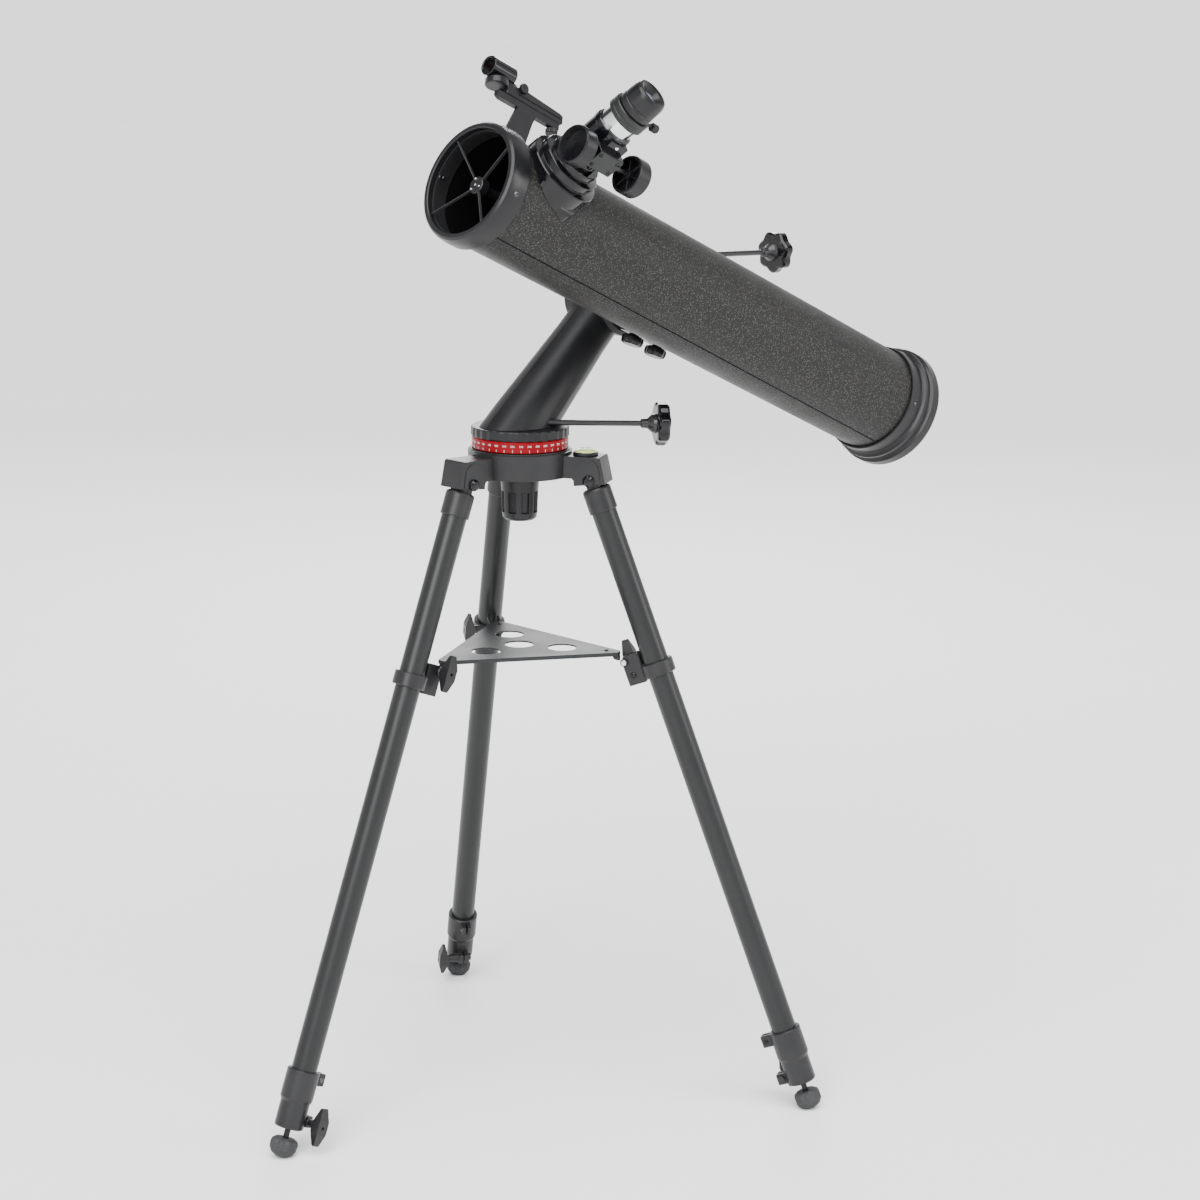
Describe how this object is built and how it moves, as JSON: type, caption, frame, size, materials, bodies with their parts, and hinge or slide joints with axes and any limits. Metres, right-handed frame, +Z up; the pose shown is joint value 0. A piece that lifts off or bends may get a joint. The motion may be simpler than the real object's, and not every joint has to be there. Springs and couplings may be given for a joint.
{
  "type": "newtonian telescope on a tripod",
  "caption": "Small Newtonian reflector telescope on a slanted single-arm alt-azimuth mount with slow-motion controls and a folding tripod with a tray.",
  "frame": {"origin": "on the floor, under the middle of the bounding box", "axes": "+Z up, -X the way the tube points, -Y the side of the arm that carries the tube"},
  "size_m": [0.7588, 0.5648, 1.0573],
  "materials": {
    "leatherette": "grained black covering, matte",
    "casting": "dark grey satin",
    "arm_black": "black satin",
    "leg_tube": "satin black paint",
    "gloss_black": "polished black",
    "tray_grey": "dark grey satin paint",
    "rubber": "grey rubber",
    "dial_red": "red anodised look with white numbers",
    "chrome": "polished chrome",
    "steel": "dark steel",
    "mirror": "first-surface mirror",
    "glass": "dark coated glass",
    "vial": "pale yellow-green spirit level"
  },
  "bodies": {
    "root": {"hub": "casting", "bubble_level": "vial", "hinge_bolt_a": "steel", "hinge_bolt_b": "steel", "hinge_bolt_c": "steel"},
    "hub_knob": {"hub_knob": "casting"},
    "azimuth_dial": {"azimuth_dial": "dial_red"},
    "leg_a": {"leg_socket_a": "casting", "upper_leg_a": "leg_tube", "tray_clamp_a": "casting", "lock_collar_a": "casting"},
    "lower_leg_a": {"lower_leg_a": "leg_tube", "foot_a": "rubber"},
    "lock_knob_a": {"lock_knob_a": "casting"},
    "tray_wing_bolt_a": {"tray_wing_bolt_a": "casting"},
    "leg_b": {"leg_socket_b": "casting", "upper_leg_b": "leg_tube", "tray_clamp_b": "casting", "lock_collar_b": "casting"},
    "lower_leg_b": {"lower_leg_b": "leg_tube", "foot_b": "rubber"},
    "lock_knob_b": {"lock_knob_b": "casting"},
    "tray_wing_bolt_b": {"tray_wing_bolt_b": "casting"},
    "leg_c": {"leg_socket_c": "casting", "upper_leg_c": "leg_tube", "tray_clamp_c": "casting", "lock_collar_c": "casting"},
    "lower_leg_c": {"lower_leg_c": "leg_tube", "foot_c": "rubber"},
    "lock_knob_c": {"lock_knob_c": "casting"},
    "tray_wing_bolt_c": {"tray_wing_bolt_c": "casting"},
    "tray": {"accessory_tray": "tray_grey"},
    "mount": {"azimuth_turntable": "casting", "arm_shell_near": "arm_black", "arm_shell_far": "arm_black"},
    "azimuth_control": {"azimuth_control": "gloss_black"},
    "altitude_control": {"altitude_control": "gloss_black"},
    "saddle": {"altitude_wheel": "steel", "saddle": "casting"},
    "saddle_knob_front": {"saddle_knob_front": "casting"},
    "saddle_knob_rear": {"saddle_knob_rear": "casting"},
    "tube": {"dovetail_bar": "casting", "main_tube": "leatherette", "front_ring": "casting", "spider": "steel", "secondary_mirror": "mirror", "rear_cell": "casting", "primary_mirror": "mirror", "focuser_base": "gloss_black", "focuser_body": "gloss_black", "finder_bracket": "casting", "finder_sight": "casting"},
    "drawtube": {"drawtube": "chrome"},
    "eyepiece": {"eyepiece": "casting"},
    "eyepiece_screw": {"eyepiece_screw": "casting"},
    "pinion": {"pinion_shaft": "steel", "focus_knob_front": "casting", "focus_knob_rear": "casting"}
  },
  "joints": [
    {"name": "hub_knob_turn", "type": "hinge", "parent": "root", "child": "hub_knob", "pos_m": [-0.05518, -0.00467, 0.61504], "axis": [0, 0, -1], "range_deg": [0, 360]},
    {"name": "dial_turn", "type": "hinge", "parent": "root", "child": "azimuth_dial", "pos_m": [-0.05518, -0.00467, 0.67404], "axis": [0, 0, 1], "continuous": true},
    {"name": "leg_fold", "type": "hinge", "parent": "root", "child": "leg_a", "pos_m": [-0.13115, -0.00692, 0.64004], "axis": [0.0297, -0.9996, 0], "range_deg": [0, 20.5]},
    {"name": "leg_fold_b", "type": "hinge", "parent": "root", "child": "leg_b", "pos_m": [-0.01525, -0.06933, 0.64004], "axis": [0.8508, 0.5255, 0], "range_deg": [0, 20.5]},
    {"name": "leg_fold_c", "type": "hinge", "parent": "root", "child": "leg_c", "pos_m": [-0.01915, 0.06225, 0.64004], "axis": [-0.8805, 0.4741, 0], "range_deg": [0, 20.5]},
    {"name": "tray_fold", "type": "hinge", "parent": "leg_c", "child": "tray", "pos_m": [-0.00183, 0.09442, 0.45577], "axis": [-0.8805, 0.4741, 0], "range_deg": [-110.7, 0]},
    {"name": "leg_extend_a", "type": "slide", "parent": "leg_a", "child": "lower_leg_a", "axis": [-0.3501, -0.0104, -0.9367], "range_m": [0, 0.4]},
    {"name": "lock_knob_turn_a", "type": "hinge", "parent": "leg_a", "child": "lock_knob_a", "pos_m": [-0.33952, -0.01311, 0.02937], "axis": [0.0297, -0.9996, 0], "range_deg": [0, 360]},
    {"name": "tray_wing_turn_a", "type": "hinge", "parent": "leg_a", "child": "tray_wing_bolt_a", "pos_m": [-0.16768, -0.00801, 0.45577], "axis": [0.0297, -0.9996, 0], "range_deg": [0, 360]},
    {"name": "leg_extend_b", "type": "slide", "parent": "leg_b", "child": "lower_leg_b", "axis": [0.184, -0.298, -0.9367], "range_m": [0, 0.4]},
    {"name": "lock_knob_turn_b", "type": "hinge", "parent": "leg_b", "child": "lock_knob_b", "pos_m": [0.09429, -0.24669, 0.02937], "axis": [0.8508, 0.5255, 0], "range_deg": [0, 360]},
    {"name": "tray_wing_turn_b", "type": "hinge", "parent": "leg_b", "child": "tray_wing_bolt_b", "pos_m": [0.00396, -0.10043, 0.45577], "axis": [0.8508, 0.5255, 0], "range_deg": [0, 360]},
    {"name": "leg_extend_c", "type": "slide", "parent": "leg_c", "child": "lower_leg_c", "axis": [0.166, 0.3084, -0.9367], "range_m": [0, 0.4]},
    {"name": "lock_knob_turn_c", "type": "hinge", "parent": "leg_c", "child": "lock_knob_c", "pos_m": [0.07967, 0.24579, 0.02937], "axis": [-0.8805, 0.4741, 0], "range_deg": [0, 360]},
    {"name": "tray_wing_turn_c", "type": "hinge", "parent": "leg_c", "child": "tray_wing_bolt_c", "pos_m": [-0.00183, 0.09442, 0.45577], "axis": [-0.8805, 0.4741, 0], "range_deg": [0, 360]},
    {"name": "azimuth", "type": "hinge", "parent": "root", "child": "mount", "pos_m": [-0.05518, -0.00467, 0.69004], "axis": [0, 0, 1], "continuous": true},
    {"name": "azimuth_control_turn", "type": "hinge", "parent": "mount", "child": "azimuth_control", "pos_m": [-0.06584, -0.02206, 0.69604], "axis": [0.8523, -0.5223, -0.0279], "continuous": true},
    {"name": "altitude", "type": "hinge", "parent": "mount", "child": "saddle", "pos_m": [0.06692, -0.00467, 0.81214], "axis": [0, 1, 0], "range_deg": [-34.2, 35.8]},
    {"name": "altitude_control_turn", "type": "hinge", "parent": "mount", "child": "altitude_control", "pos_m": [0.06692, -0.00467, 0.84854], "axis": [0.9997, 0, -0.0262], "range_deg": [-2053, 2149]},
    {"name": "saddle_knob_front_turn", "type": "hinge", "parent": "saddle", "child": "saddle_knob_front", "pos_m": [0.06144, -0.06267, 0.8146], "axis": [-0.4099, 0, -0.9121], "range_deg": [0, 360]},
    {"name": "saddle_knob_rear_turn", "type": "hinge", "parent": "saddle", "child": "saddle_knob_rear", "pos_m": [0.09337, -0.06267, 0.80026], "axis": [-0.4099, 0, -0.9121], "range_deg": [0, 360]},
    {"name": "tube_slide", "type": "slide", "parent": "saddle", "child": "tube", "axis": [0.9121, 0, -0.4099], "range_m": [-0.02, 0.02]},
    {"name": "focus", "type": "slide", "parent": "tube", "child": "drawtube", "axis": [0.2796, -0.7314, 0.6221], "range_m": [-0.012, 0.03]},
    {"name": "focus_knob_turn", "type": "hinge", "parent": "tube", "child": "pinion", "pos_m": [-0.15138, -0.22469, 0.968], "axis": [0.9121, 0, -0.4099], "range_deg": [-203.22, 506.55]},
    {"name": "eyepiece_lift", "type": "slide", "parent": "drawtube", "child": "eyepiece", "axis": [0.2796, -0.7314, 0.6221], "range_m": [0, 0.035]},
    {"name": "eyepiece_screw_turn", "type": "hinge", "parent": "drawtube", "child": "eyepiece_screw", "pos_m": [-0.10563, -0.24125, 0.99661], "axis": [0.9121, 0, -0.4099], "range_deg": [0, 360]}
  ],
  "couplings": [
    {"joint": "leg_fold_b", "follows": "leg_fold", "ratio": 1},
    {"joint": "leg_fold_c", "follows": "leg_fold", "ratio": 1},
    {"joint": "tray_fold", "follows": "leg_fold", "ratio": -5.3902},
    {"joint": "azimuth_control_turn", "follows": "azimuth", "ratio": 60},
    {"joint": "altitude_control_turn", "follows": "altitude", "ratio": 60},
    {"joint": "focus_knob_turn", "follows": "focus", "rad_per_m": 294.12}
  ]
}
